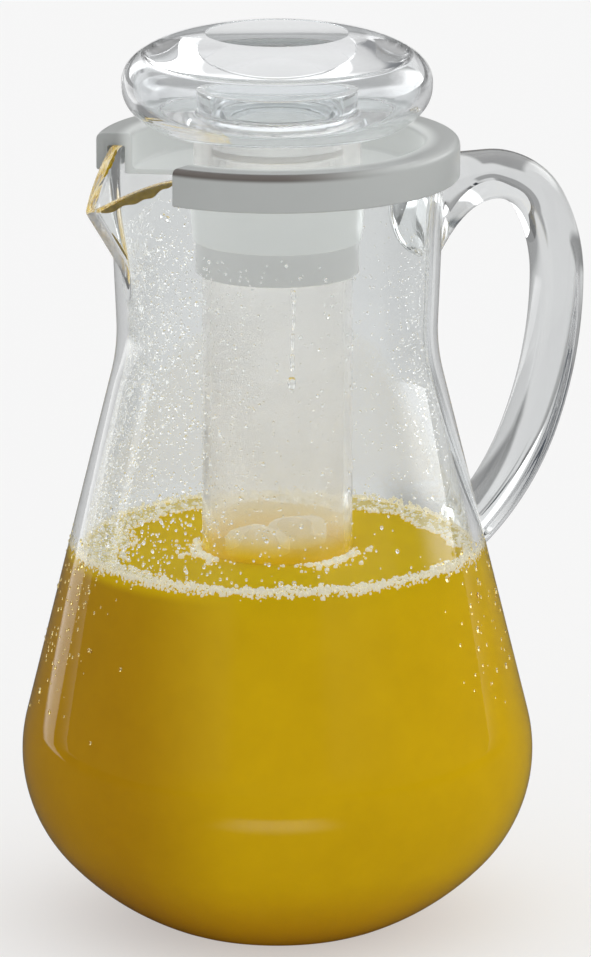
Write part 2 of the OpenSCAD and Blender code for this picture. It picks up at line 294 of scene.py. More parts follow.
def farOut(tree, place):
    # distance from the Z axis
    flat = tree.nodes.new("ShaderNodeVectorMath")
    flat.operation = "MULTIPLY"
    flat.inputs[1].default_value = (1, 1, 0)
    far = tree.nodes.new("ShaderNodeVectorMath")
    far.operation = "LENGTH"
    tree.links.new(place.outputs["Object"], flat.inputs[0])
    tree.links.new(flat.outputs["Vector"], far.inputs[0])
    return far.outputs["Value"]


def stain(mat, colour, mask):
    # the base colour gives way to a stain where the mask is 1
    tree = mat.node_tree
    base = tree.nodes["Principled BSDF"].inputs["Base Color"]
    plain = base.links[0].from_socket if base.links else tuple(base.default_value)
    tree.links.new(mixColours(tree, mask, plain, (*colour, 1)), base)


def addGlow(mat, strength, full=None, none=None):
    # painted light: the piece gives off its own colour, standing in for light that comes through it; if
    # wanted fading out between two radii
    tree = mat.node_tree
    bsdf = tree.nodes["Principled BSDF"]
    bsdf.inputs["Emission Strength"].default_value = strength
    bsdf.inputs["Emission Color"].default_value = bsdf.inputs["Base Color"].default_value
    if not bsdf.inputs["Base Color"].links:
        return
    colour = bsdf.inputs["Base Color"].links[0].from_socket
    if full is not None:
        place = tree.nodes.new("ShaderNodeTexCoord")
        colour = mixColours(tree, stepOf(tree, farOut(tree, place), full, none), colour, (0, 0, 0, 1))
    tree.links.new(colour, bsdf.inputs["Emission Color"])


def clearMaterial(name, tint, ior, low, high, scale, wave, clear=1.0):
    # clear plastic or water: transmission, with a little misting in the roughness and a faint moulding wave
    mat, tree, bsdf = newMaterial(name)
    bsdf.inputs["Base Color"].default_value = (*tint, 1)
    bsdf.inputs["IOR"].default_value = ior
    bsdf.inputs["Transmission Weight"].default_value = clear
    smear = addGroup(tree, smearGroup, Scale=scale, Low=low, High=high)
    tree.links.new(smear.outputs["Roughness"], bsdf.inputs["Roughness"])
    addBump(tree, bsdf, smear.outputs["Height"], wave, 0.4 * mm)
    return mat


def mottleMaterial(name, dark, light, scale, rough, wave):
    # opaque moulded or foamy finish: two near colours clouded together, and a fine bump of the same clouds
    mat, tree, bsdf = newMaterial(name)
    bsdf.inputs["Roughness"].default_value = rough
    mottle = addGroup(tree, mottleGroup, Scale=scale, Dark=(*dark, 1), Light=(*light, 1))
    tree.links.new(mottle.outputs["Color"], bsdf.inputs["Base Color"])
    addBump(tree, bsdf, mottle.outputs["Mask"], wave, 0.2 * mm)
    return mat


# vessel: sizes of the moulded body, the same as in the solid

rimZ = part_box("pitcher_body")[1][2]
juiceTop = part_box("juice")[1][2]
vessel = dict(
    bellyR=80 * mm, bellyZ=54.6 * mm, bellyRound=48 * mm, soleRound=86.7 * mm, footR=35 * mm,
    waistR=49.5 * mm, waistZ=184 * mm, waistRound=60 * mm, rimR=52 * mm, wall=3.5 * mm, floor=4.5 * mm,
    rimRound=1.5 * mm, footRound=1.6 * mm, floorRound=5 * mm, cols=288, neckRows=46, spoutCrowd=0.55,
    glow=0.0025, glowTint=(1, 0.93, 0.4, 1), glowFade=10 * mm)
spout = dict(
    reach=65 * mm, droop=13.5 * mm, depth=34 * mm, wall=2.6 * mm, ball=3.9 * mm, tipBall=4.6 * mm,
    keelBall=3.4 * mm, sideTurn=27, lipTurn=31.5, lipPower=1.5, lipSpan=60, start=46 * mm, rise=6 * mm,
    blendIn=1.6 * mm, keelRound=0.034, limit=49, fade=(36, 48))

bellyX = vessel["bellyR"] - vessel["bellyRound"]
curveStep = vessel["soleRound"] - vessel["bellyRound"]
soleA = 2 * curveStep * (vessel["footR"] - bellyX)
soleB = 2 * curveStep * vessel["bellyZ"]
soleK = vessel["soleRound"] ** 2 - (vessel["footR"] - bellyX) ** 2 - vessel["bellyZ"] ** 2 - curveStep ** 2
soleTurn = math.atan2(soleB, soleA) - math.acos(soleK / math.hypot(soleA, soleB))
soleX = bellyX - curveStep * math.cos(soleTurn)
soleZ = vessel["bellyZ"] + curveStep * math.sin(soleTurn)
waistDx, waistDz = vessel["waistR"] - bellyX, vessel["waistZ"] - vessel["bellyZ"]
coneTurn = math.atan2(waistDz, waistDx) - math.acos(vessel["bellyRound"] / math.hypot(waistDx, waistDz))
neckTurn = math.atan2(vessel["rimR"] - vessel["waistR"], rimZ - vessel["waistZ"])
waistFar = vessel["waistRound"] / math.cos((coneTurn + neckTurn) / 2)
waistX = vessel["waistR"] + waistFar * math.cos((coneTurn - neckTurn) / 2)
waistMidZ = vessel["waistZ"] + waistFar * math.sin((coneTurn - neckTurn) / 2)


def vesselSide(inset, low, steps=18):
    # side of the vessel as arcs that meet tangent: sole, belly, straight cone, waist; inset moves it inward
    lowTurn = math.degrees(math.asin((soleZ - low) / (vessel["soleRound"] - inset)))
    cone, neck, sole = math.degrees(coneTurn), math.degrees(neckTurn), math.degrees(soleTurn)
    bottom = arcPoints(soleX, soleZ, vessel["soleRound"] - inset, -lowTurn, -sole, steps)
    belly = arcPoints(bellyX, vessel["bellyZ"], vessel["bellyRound"] - inset, -sole, cone, steps * 2)
    waist = arcPoints(waistX, waistMidZ, vessel["waistRound"] + inset, 180 + cone, 180 - neck, steps)
    straight = np.linspace(belly[-1], waist[0], steps * 2)[1:-1]
    return np.concatenate([bottom, belly[1:], straight, waist])


def neckRadius(z, inset):
    # straight neck, leaning out a little toward the rim
    return vessel["rimR"] - inset / math.cos(neckTurn) - (rimZ - z) * math.tan(neckTurn)


def sideRadius(z, inset=0.0):
    # radius of the vessel at any height, read off the side curve and the neck
    curve = vesselSide(inset, vessel["floor"] if inset else 0.0)
    curve = np.concatenate([curve, [[neckRadius(rimZ, inset), rimZ]]])
    return np.interp(z, curve[:, 1], curve[:, 0])


# the beak's flank is the plane through its side point, its tip and the keel's end
sideTurn = math.radians(spout["sideTurn"])
flankSide = np.array([math.cos(sideTurn), math.sin(sideTurn), 0]) * (vessel["rimR"] - spout["keelBall"])
flankSide[2] = rimZ
flankTip = np.array([spout["reach"] - spout["tipBall"], 0, rimZ - spout["droop"]])
flankKeel = np.array([neckRadius(rimZ - spout["depth"], 0) - spout["keelBall"], 0, rimZ - spout["depth"]])
flankNormal = np.cross(flankKeel - flankTip, flankSide - flankTip)
flankNormal /= np.linalg.norm(flankNormal) * np.sign(flankNormal[0])
lipStart = vessel["rimR"] * math.cos(math.radians(spout["lipTurn"]))


def smoothStep(x, low, high):
    # the cubic that goes from 0 at low to 1 at high with flat ends
    t = np.clip((x - low) / (high - low), 0, 1)
    return t * t * (3 - 2 * t)


def wallRadius(turn, z, inset):
    # soft maximum of the neck's radius and the radius where the ray at this angle meets the beak's flank
    t = np.minimum(np.abs(turn), math.radians(spout["limit"]))
    across = np.sqrt(np.sin(t) ** 2 + spout["keelRound"] ** 2)
    thin = inset * spout["wall"] / vessel["wall"]
    depth = flankNormal @ flankTip + spout["ball"] - thin - flankNormal[2] * z
    flank = depth / (flankNormal[0] * np.cos(t) + flankNormal[1] * across)
    neck = neckRadius(z, inset)
    gap = flank - neck
    soft = (gap + np.sqrt(gap ** 2 + spout["blendIn"] ** 2)) / 2
    fade = 1 - smoothStep(np.abs(turn), *np.radians(spout["fade"]))
    return neck + soft * fade * smoothStep(z, rimZ - spout["start"], rimZ - spout["start"] + spout["rise"])


def lipHeight(turn):
    # height of the rim at each angle: level round the neck, and on the lip's slope where the beak reaches out
    z = np.full_like(turn, rimZ)
    for _ in range(30):
        along = wallRadius(turn, z, 0.0) * np.cos(turn)
        share = (along - lipStart) / (spout["reach"] - lipStart)
        share = np.where(np.abs(turn) < math.radians(spout["lipSpan"]), np.clip(share, 0, 1.02), 0.0)
        z = rimZ - spout["droop"] * share ** spout["lipPower"]
    return z


def wallGrid(curve, turn, top, inset, neckRows):
    # side curve below the neck as plain rings, then rings that lift from the neck's foot up to the lip line
    a = turn + np.pi
    r, z = curve[:, :1], curve[:, 1:]
    rings = np.stack([r * np.cos(a), r * np.sin(a), z + 0 * a], axis=2)
    low = curve[-1, 1]
    z = low + (top[None, :] - low) * np.linspace(0, 1, neckRows)[1:, None]
    r = wallRadius(turn[None, :] + 0 * z, z, inset)
    return np.concatenate([rings, np.stack([r * np.cos(a), r * np.sin(a), z], axis=2)])


# angles are counted from the spout and crowd together there
stepShare = np.linspace(-np.pi, np.pi, vessel["cols"], endpoint=False)
spoutTurn = stepShare - vessel["spoutCrowd"] * np.sin(stepShare)


def vesselPoints():
    # one closed skin: foot, outer wall, rounded rim, inner wall and floor
    outer = vesselSide(0.0, 0.0)
    inner = vesselSide(vessel["wall"], vessel["floor"])
    edge = roundCorners([[0, 0], outer[0], outer[4]], [0, vessel["footRound"], 0])[5:10]
    footProfile = np.concatenate([np.linspace([0, 0], edge[0], 5)[:-1], edge, outer[2:]])
    floorMid = [0, vessel["floor"]]
    floorEdge = roundCorners([floorMid, inner[0], inner[4]], [0, vessel["floorRound"], 0])[5:10]
    floorProfile = np.concatenate([np.linspace(floorMid, floorEdge[0], 5)[:-1], floorEdge, inner[3:]])
    top = lipHeight(spoutTurn) - vessel["rimRound"]
    outGrid = wallGrid(footProfile, spoutTurn, top, 0.0, vessel["neckRows"])
    inGrid = wallGrid(floorProfile, spoutTurn, top, vessel["wall"], vessel["neckRows"])
    arc = np.linspace(0, np.pi, 9)[1:-1, None, None]
    middle, half = (outGrid[-1] + inGrid[-1]) / 2, (outGrid[-1] - inGrid[-1]) / 2
    rim = middle + half * np.cos(arc) + np.array([0, 0, vessel["rimRound"]]) * np.sin(arc)
    return np.concatenate([outGrid, rim, inGrid[::-1]])


def bodyMaterial():
    # clear plastic with a very faint painted glow (painted light), which adds up along rays that stay in the
    # wall: yellow beside the drink, white above it
    mat = clearMaterial("clearBody", tint=(0.97, 0.985, 0.985), ior=1.5, low=0.0, high=0.03,
                        scale=14.0, wave=0.03)
    addGlow(mat, vessel["glow"])
    tree = mat.node_tree
    height = turnedPlace(tree, 0)[1].outputs["Z"]
    above = stepOf(tree, height, juiceTop, juiceTop + vessel["glowFade"])
    colour = mixColours(tree, above, vessel["glowTint"], (1, 1, 1, 1))
    tree.links.new(colour, tree.nodes["Principled BSDF"].inputs["Emission Color"])
    return mat


vesselMesh = buildMesh("vesselShell", *withQuads(vesselPoints()))
addPiece("vesselShell", vesselMesh, bodyMaterial(), "pitcher", "clear_body", "pitcher_body")


# handle: a full oval bar carried along arcs, flaring onto the neck

handle = dict(
    thick=15 * mm, wide=20 * mm, drop=13.9 * mm, root=45 * mm, run=73 * mm, tail=13.4 * mm, power=2.4,
    radii=[19 * mm, 49.5 * mm, 128 * mm, 83 * mm], turns=[60, 30, 22, 31], seat=0.05 * mm,
    flareDown=16 * mm, flareSide=6 * mm, flareRun=22 * mm, flareFrom=50.8 * mm, cols=56,
    underLid=0.9 * mm, lidGap=0.8 * mm, lidSlope=1.2)


def handleLine():
    # middle line as a straight run and four arcs; each row is x, z, turn, half thickness, half width
    z0 = rimZ - handle["drop"]
    x = np.linspace(handle["root"], handle["run"], 30)
    grow = np.clip(1 - (x - handle["flareFrom"]) / handle["flareRun"], 0, 1) ** 2
    rows = [np.stack([x, z0 - handle["flareDown"] * grow / 2, 0 * x,
                      (handle["thick"] + handle["flareDown"] * grow) / 2,
                      handle["wide"] / 2 + handle["flareSide"] * grow], axis=1)]
    at, turn = np.array([handle["run"], z0]), 0.0
    share = np.linspace(0, 1, 20)[1:]
    for n, (radius, degrees) in enumerate(zip(handle["radii"], handle["turns"])):
        middle = at - radius * np.array([math.sin(turn), math.cos(turn)])
        a = turn + math.radians(degrees) * share
        thick = handle["thick"] + (handle["tail"] - handle["thick"]) * share * (n == 3)
        rows.append(np.stack([middle[0] + radius * np.sin(a), middle[1] + radius * np.cos(a), a,
                              thick / 2, 0 * a + handle["wide"] / 2], axis=1))
        at, turn = rows[-1][-1, :2], a[-1]
    return np.concatenate(rows)


def handlePoints():
    # full oval section on each row of the line; what would lie in the vessel is laid onto its outside
    line = handleLine()
    a = np.linspace(0, 2 * np.pi, handle["cols"], endpoint=False)
    power = 2 / handle["power"]
    up = np.sign(np.cos(a)) * np.abs(np.cos(a)) ** power
    side = np.sign(np.sin(a)) * np.abs(np.sin(a)) ** power
    x, z, turn, halfT, halfW = (line[:, k:k + 1] for k in range(5))
    rise = halfT * up
    pts = np.stack([x + rise * np.sin(turn), halfW * side + 0 * x, z + rise * np.cos(turn)], axis=2)
    shrink = np.linspace(0, 1, 7)[:-1, None, None]
    headCap = pts[0].mean(axis=0) + (pts[0] - pts[0].mean(axis=0)) * shrink
    tailCap = (pts[-1].mean(axis=0) + (pts[-1] - pts[-1].mean(axis=0)) * shrink)[::-1]
    grid = np.concatenate([headCap, pts, tailCap])
    r = np.hypot(grid[..., 0], grid[..., 1])
    roof = lidLow - handle["underLid"] + np.maximum(0, r - lidOut - handle["lidGap"]) * handle["lidSlope"]
    grid[..., 2] = np.minimum(grid[..., 2], roof)  # stays under the lid's skirt
    wall = sideRadius(grid[..., 2]) + handle["seat"]
    grid[..., :2] *= np.maximum(1.0, wall / np.maximum(r, 1 * mm))[..., None]
    return grid


lidBox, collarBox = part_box("lid_cover"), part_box("tube_collar")
lidLow, lidOut = rimZ - 7.7 * mm, lidBox[1][1]  # the skirt's lower edge and its radius
clearBar = clearMaterial("clearBar", tint=(0.94, 0.955, 0.96), ior=1.5, low=0.0, high=0.02,
                         scale=20.0, wave=0.02)
handleMesh = buildMesh("handleBar", *withQuads(handlePoints()))
addPiece("handleBar", handleMesh, clearBar, "pitcher", "clear_handle", "handle")


# juice: the inside of the vessel up to the drink's level, a little into the wall so that it looks wet there

# painted shade: the low, middle and top colours darken the drink toward the bottom, and shade with shadeTint
# darkens its left side; glow is painted light
juice = dict(
    wet=-0.3 * mm, creep=1.3 * mm, creepRun=2.5 * mm, skin=(0.5 * mm, 4 * mm), shade=(-6 * mm, -50 * mm),
    shadeTint=(0.70, 0.58, 1.2, 1), low=(0.66, 0.32, 0.0012, 1), middle=(0.80, 0.52, 0.001, 1),
    middleShare=0.25, top=(0.78, 0.53, 0.0008, 1), glow=0.22)
juiceCurve = vesselSide(vessel["wall"] + juice["wet"], vessel["floor"] + juice["wet"], 24)
juiceEdge = np.interp(juiceTop + juice["creep"], juiceCurve[:, 1], juiceCurve[:, 0])


def juiceLevel(r):
    # the drink's surface: level, with an exponential creep up the wall
    return juiceTop + juice["creep"] * np.exp(-(juiceEdge - r) / juice["creepRun"])


def juiceProfile():
    # inner side curve up to the wet line, then the surface back to the middle, closer rows near the wall
    side = juiceCurve[juiceCurve[:, 1] < juiceTop + juice["creep"] - 0.2 * mm]
    r = juiceEdge * (1 - np.linspace(0, 1, 60) ** 2)
    return np.concatenate([[[0, side[0, 1]]], side, np.stack([r, juiceLevel(r)], axis=1)])


def juiceMaterial():
    # the drink: ochre low down and on the side away from the light, both painted shade, clear yellow near the
    # surface, with pulp clouds
    mat, tree, bsdf = newMaterial("juiceYellow")
    split = turnedPlace(tree, pictureTurn)[1]
    ramp = tree.nodes.new("ShaderNodeValToRGB")
    stops = ramp.color_ramp.elements
    stops[0].color, stops[1].color = juice["low"], juice["top"]
    stops.new(juice["middleShare"]).color = juice["middle"]
    tree.links.new(spreadOf(tree, split.outputs["Z"], 0.0, juiceTop), ramp.inputs["Fac"])
    skinTop, skinLow = juice["skin"]
    # painted shade: the picture's left side turns a deeper ochre, stopping just under the surface
    shaded = productNode(tree, stepOf(tree, split.outputs["X"], *juice["shade"]),
                         stepOf(tree, split.outputs["Z"], juiceTop - skinTop, juiceTop - skinLow))
    colour = mixColours(tree, shaded, ramp.outputs["Color"], juice["shadeTint"], "MULTIPLY")
    pulp = addGroup(tree, mottleGroup, Scale=60.0, Dark=(0.9, 0.88, 0.8, 1), Light=(1.06, 1.08, 1.1, 1))
    colour = mixColours(tree, 1.0, colour, pulp.outputs["Color"], "MULTIPLY")
    tree.links.new(colour, bsdf.inputs["Base Color"])
    bsdf.inputs["Roughness"].default_value = 0.2
    bsdf.inputs["Specular IOR Level"].default_value = 0.0
    # painted light: the drink glows in its own colour, standing in for light scattered inside it
    addGlow(mat, juice["glow"])
    return mat


revolvePiece("juiceFill", juiceProfile(), juiceMaterial(), "pitcher", "juice", "juice", cols=160)


# ice tube: round closed end, and a wider head that stands on the lid's floor

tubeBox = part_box("ice_tube")
tube = dict(
    r=23.4 * mm, wall=2 * mm, low=tubeBox[0][2], top=tubeBox[1][2], headR=tubeBox[1][0], head=15.8 * mm,
    wet=(0.96, 0.76, 0.0), drinkTintZone=[(10 * mm, 1 * mm), (-9 * mm, -1 * mm)], glow=0.075)


def tubeProfile():
    # outside from the lower pole to the head, over the mouth, and the inside back to the lower pole
    r, wall, mid = tube["r"], tube["wall"], tube["low"] + tube["r"]
    under = tube["top"] - tube["head"]
    outer = arcPoints(0, mid, r, -90, 0, 16)
    inner = arcPoints(0, mid, r - wall, 0, -90, 16)
    length = np.linspace([r, mid], [r, under - 1 * mm], 12)[1:]
    lip = roundCorners([[r, under], [tube["headR"], under], [tube["headR"], tube["top"]],
                        [r - wall, tube["top"]]], 0.6 * mm)
    down = np.linspace([r - wall, tube["top"] - 1 * mm], [r - wall, mid], 12)[:-1]
    return np.concatenate([outer, length, lip, down, inner])


def tubeMaterial():
    # clear plastic with the drink's colour in a band at its level, partly the drink wetting it and partly
    # painted light of the drink seen through it; its painted glow is its colour times two greys, cloudy as
    # mist
    mat = clearMaterial("clearTube", tint=(0.985, 0.98, 0.965), ior=1.45, low=0.02, high=0.16,
                        scale=16.0, wave=0.05, clear=0.78)
    tree = mat.node_tree
    height = turnedPlace(tree, 0)[1].outputs["Z"]
    # the drink's colour at its level: partly the drink wetting the tube, partly painted light of the drink
    # seen through it, which the glow takes on too
    up, down = (stepOf(tree, height, juiceTop + low, juiceTop + high) for low, high in tube["drinkTintZone"])
    stain(mat, tube["wet"], productNode(tree, up, down))
    addGlow(mat, tube["glow"])
    glow = tree.nodes["Principled BSDF"].inputs["Emission Color"]
    # painted light: clouds of brighter and dimmer glow
    glowClouds = addGroup(tree, mottleGroup, Scale=28.0, Dark=grey(0.2), Light=grey(1.7))
    tree.links.new(mixColours(tree, 1.0, glow.links[0].from_socket, glowClouds.outputs["Color"], "MULTIPLY"), glow)
    return mat


revolvePiece("iceTube", tubeProfile(), tubeMaterial(), "core", "clear_tube", "ice_tube", cols=112)

ice = dict(
    half=8.6 * mm, bottom=66 * mm, layers=4, step=17.6 * mm, offset=9.2 * mm, power=0.45, melt=0.1, seed=5,
    firstTurn=0.3, layerTurn=1.1, tilt=0.12)


def icePoints():
    # melted cubes: a superquadric ball with low waves, two in each layer, each layer turned further
    rng = np.random.default_rng(ice["seed"])
    u = np.linspace(0, 2 * np.pi, 28, endpoint=False)[None, :]
    v = np.linspace(-np.pi / 2, np.pi / 2, 17)[:, None]
    full = lambda w: np.sign(w) * np.abs(w) ** ice["power"]
    ball = np.stack([full(np.cos(v)) * full(np.cos(u)), full(np.cos(v)) * full(np.sin(u)),
                     full(np.sin(v)) + 0 * u], axis=2)
    grids = []
    for k in range(2 * ice["layers"]):
        p = rng.uniform(0, 6, 3)
        bx, by, bz = ball[..., :1], ball[..., 1:2], ball[..., 2:]
        wave = np.sin(3 * bx + p[0]) * np.cos(2.6 * by + p[1]) * np.cos(2 * bz + p[2])
        cube = ball * (1 - ice["melt"] * (0.5 + 0.5 * wave)) * ice["half"]
        turn = (k // 2) * ice["layerTurn"] + ice["firstTurn"]
        tilt = rng.uniform(-ice["tilt"], ice["tilt"])
        x, y = cube[..., 0] + (ice["offset"] if k % 2 else -ice["offset"]), cube[..., 1]
        z = cube[..., 2] + tilt * y + ice["bottom"] + (k // 2) * ice["step"]
        c, s = math.cos(turn), math.sin(turn)
        grids.append(withQuads(np.stack([c * x - s * y, s * x + c * y, z], axis=2)))
    return joinGrids(grids)


meltIce = clearMaterial("meltIce", tint=(0.97, 0.985, 0.99), ior=1.31, low=0.02, high=0.25,
                        scale=60.0, wave=0.2, clear=0.82)
# painted light: the ice glows a little, as if lit from within
addGlow(meltIce, strength=0.1)
addPiece("iceCubes", buildMesh("iceCubes", *icePoints()), meltIce, "core", "ice", "ice_core")


# lid: a bowl with band and skirt, carried round an open circle, and the full ring with the sleeve

lid = dict(
    top=rimZ + 4 * mm, band=11.3 * mm, skirtIn=52.8 * mm, skirtOut=56.5 * mm, skirtEnd=lidLow, pour=31.5,
    bowlLow=rimZ - 8.8 * mm, bowlZ=rimZ - 7.2 * mm, bowlR=47.6 * mm, bore=23.8 * mm, sleeveR=27.5 * mm,
    sleeveLow=26.2 * mm, sleeveEnd=lidBox[0][2], recessR=25.25 * mm, recess=5 * mm, bevel=0.5 * mm, cols=150,
    sleeveLitTone=(0.52, 0.535, 0.525), darkBand=(0.10, 0.085, 0.075), darkBandTop=(-2.6 * mm, -1.2 * mm),
    darkBandOut=(53.6 * mm, 54.8 * mm), darkBandSide=(40 * mm, 0.0), darkBandFront=(-10 * mm, -25 * mm),
    glow=0.7, glowFade=(45.6 * mm, 51 * mm), overlap=0.8 * mm, ringRound=0.35 * mm)


def insetOutline(outline, depth):
    # each point of a closed outline moves inward along the normal of its neighbours' chord
    chord = np.roll(outline, -1, axis=0) - np.roll(outline, 1, axis=0)
    normal = np.stack([chord[:, 1], -chord[:, 0]], axis=1) / np.linalg.norm(chord, axis=1, keepdims=True)
    x, z = outline[:, 0], outline[:, 1]
    area = np.sum(x * np.roll(z, -1) - np.roll(x, -1) * z)
    return outline - normal * depth * np.sign(area)


def lidSweep():
    # outline of bowl, band and skirt carried from one side of the pouring gap to the other, ends bevelled
    start, inner = lid["sleeveR"] - lid["overlap"], lid["skirtOut"] - lid["band"]
    outline = roundCorners([
        [start, lid["bowlLow"]], [lid["bowlR"], lid["bowlLow"]], [lid["bowlR"], rimZ],
        [lid["skirtIn"], rimZ], [lid["skirtIn"], lid["skirtEnd"]], [lid["skirtOut"], lid["skirtEnd"]],
        [lid["skirtOut"], lid["top"]], [inner, lid["top"]], [inner, lid["bowlZ"]], [start, lid["bowlZ"]]],
        np.array([0.3, 0.7, 0.7, 0.7, 0.8, 0.8, 2.4, 2.0, 1.5, 0.3]) * mm, 7)
    gap = math.radians(lid["pour"])
    ease = np.array([0.0, 0.15, 0.5]) * mm / lid["skirtOut"]
    full = np.linspace(np.pi + gap + 2 * ease[2], 3 * np.pi - gap - 2 * ease[2], lid["cols"])
    a = np.concatenate([np.pi + gap + ease, full, 3 * np.pi - gap - ease[::-1]])
    draw = np.concatenate([[1, 0.3, 0], 0 * full, [0, 0.3, 1]]) * lid["bevel"]
    rings = np.stack([insetOutline(outline, d) for d in draw])
    r, z = rings[..., 0], rings[..., 1]
    points = np.stack([r * np.cos(a)[:, None], r * np.sin(a)[:, None], z], axis=2)
    n, k = points.shape[:2]
    return *withQuads(points), [list(range(k)), list(range((n - 1) * k, n * k))]


def lidRing():
    # floor ring and sleeve round the bore, with the recess that takes the collar
    outline = roundCorners([
        [lid["bore"], lid["bowlZ"]], [lid["sleeveR"], lid["bowlZ"]], [lid["sleeveR"], lid["bowlLow"]],
        [lid["sleeveLow"], lid["sleeveEnd"]], [lid["recessR"], lid["sleeveEnd"]],
        [lid["recessR"], lid["sleeveEnd"] + lid["recess"]], [lid["bore"], lid["sleeveEnd"] + lid["recess"]]],
        lid["ringRound"], 4)
    return withQuads(revolve(outline), closeRows=True)


def lidMaterial():
    # grey moulding with a paler sleeve as painted light from inside the vessel, a dark band along its front
    # top edge, and painted light standing in for light through the thin floor
    mat = mottleMaterial("lidGrey", dark=(0.40, 0.415, 0.405), light=(0.45, 0.465, 0.455), scale=40.0,
                         rough=0.28, wave=0.03)
    tree = mat.node_tree
    place, split = turnedPlace(tree, pictureTurn)
    x, y, z = (split.outputs[label] for label in "XYZ")
    # painted light: the sleeve below the bowl is paler, as if lit from inside the vessel
    stain(mat, lid["sleeveLitTone"], stepOf(tree, z, lid["bowlLow"], lid["bowlLow"] - 1 * mm))
    # a dark band on the rounded outer top edge, on the front and the picture's left only
    stain(mat, lid["darkBand"], productNode(
        tree, stepOf(tree, z, *(lid["top"] + np.array(lid["darkBandTop"]))),
        stepOf(tree, farOut(tree, place), *lid["darkBandOut"]), stepOf(tree, x, *lid["darkBandSide"]),
        stepOf(tree, y, *lid["darkBandFront"])))
    # painted light: a glow over the bowl and sleeve, fading out toward the band
    addGlow(mat, lid["glow"], *lid["glowFade"])
    return mat


sweepPoints, sweepQuads, sweepEnds = lidSweep()
lidPoints, lidQuads = joinGrids([(sweepPoints, sweepQuads), lidRing()])
lidMesh = buildMesh("lidCover", lidPoints, lidQuads, sweepEnds, sharpAngle=40)
addPiece("lidCover", lidMesh, lidMaterial(), "lid", "lid_grey", "lid_cover")

collar = dict(
    low=collarBox[0][2], r=25.4 * mm, plugR=25.2 * mm, plug=5 * mm, gap=0.05 * mm, edgeRound=0.3 * mm)
plugTop = lid["sleeveEnd"] + collar["plug"] - collar["gap"]
collarGrey = mottleMaterial("collarGrey", dark=(0.67, 0.68, 0.67), light=(0.73, 0.74, 0.73), scale=40.0,
                            rough=0.32, wave=0.03)
# painted light: the collar glows a little, standing in for light inside the vessel
addGlow(collarGrey, strength=0.3)
collarOutline = roundCorners([
    [lid["bore"], collar["low"]], [collar["r"], collar["low"]],
    [collar["r"], lid["sleeveEnd"] - collar["gap"]], [collar["plugR"], lid["sleeveEnd"]],
    [collar["plugR"], plugTop], [lid["bore"], plugTop]], collar["edgeRound"], 4)
revolvePiece("tubeCollar", collarOutline, collarGrey, "lid", "collar_grey", "tube_collar", closed=True)


# knob: a hollow flattened dome closed by a base disc with hub and spigot

domeBox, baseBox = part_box("knob_dome"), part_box("knob_base")
knob = dict(
    r=48 * mm, up=17 * mm, down=19.2 * mm, seat=domeBox[0][2], rise=12.6 * mm, power=2.3, wall=3.5 * mm,
    baseT=3 * mm, baseR=baseBox[1][0], joint=0.08 * mm, mark=1.6 * mm, markR=22 * mm, roof=6.8 * mm,
    hubR=24.8 * mm, hubT=3 * mm, hubTop=baseBox[1][2], spigotR=21.0 * mm, spigotIn=18.0 * mm,
    spigotEnd=baseBox[0][2], groove=1.1 * mm, grooveR=18.9 * mm)
knobZ = knob["seat"] + knob["rise"]


def fullOval(r, up, down, low, steps):
    # superellipse from the top pole to the widest place, then on down to the stated depth
    a = np.linspace(0, np.pi / 2, steps)
    power = 2 / knob["power"]
    upper = np.stack([r * np.sin(a) ** power, up * np.abs(np.cos(a)) ** power], axis=1)
    s = np.linspace(0, low / down, steps)[1:]
    lower = np.stack([r * (1 - s ** knob["power"]) ** (1 / knob["power"]), -down * s], axis=1)
    return np.concatenate([upper, lower]) + np.array([0, knobZ])


def domeProfile():
    # sunk round mark, outer oval, turned-in edge, inner oval up to the hollow's flat ceiling
    outer = fullOval(knob["r"], knob["up"], knob["down"], knob["rise"], 34)
    t, markR = knob["wall"], knob["markR"]
    inner = fullOval(knob["r"] - t, knob["up"] - t, knob["down"] - t, knob["rise"] - knob["baseT"], 34)
    markZ, roofZ = knobZ + knob["up"] - knob["mark"], knobZ + knob["roof"]
    crownZ = np.interp(markR, outer[:34, 0], outer[:34, 1])
    roofR = np.interp(-roofZ, -inner[:34, 1], inner[:34, 0])
    outer, inner = outer[outer[:, 0] > markR + 0.3 * mm], inner[inner[:, 1] < roofZ - 0.3 * mm]
    mark = roundCorners([[0, markZ], [markR, markZ], [markR, crownZ], outer[0]],
                        np.array([0, 0.12, 0.15, 0]) * mm, 4)
    edge = np.array([[knob["baseR"] + knob["joint"], knob["seat"]],
                     [knob["baseR"] + knob["joint"], knob["seat"] + knob["baseT"]]])
    foot = roundCorners([outer[-4], outer[-1], edge[0], edge[1], inner[-1], inner[-4]],
                        np.array([0, 0.8, 0.3, 0.3, 0.5, 0]) * mm, 4)[4:20]
    roof = roundCorners([inner[0], [roofR, roofZ], [0, roofZ]], np.array([0, 0.8, 0]) * mm, 5)[5:10]
    return np.concatenate([[[0, markZ]], mark[4:12], outer[:-2], foot, inner[::-1][2:], roof, [[0, roofZ]]])


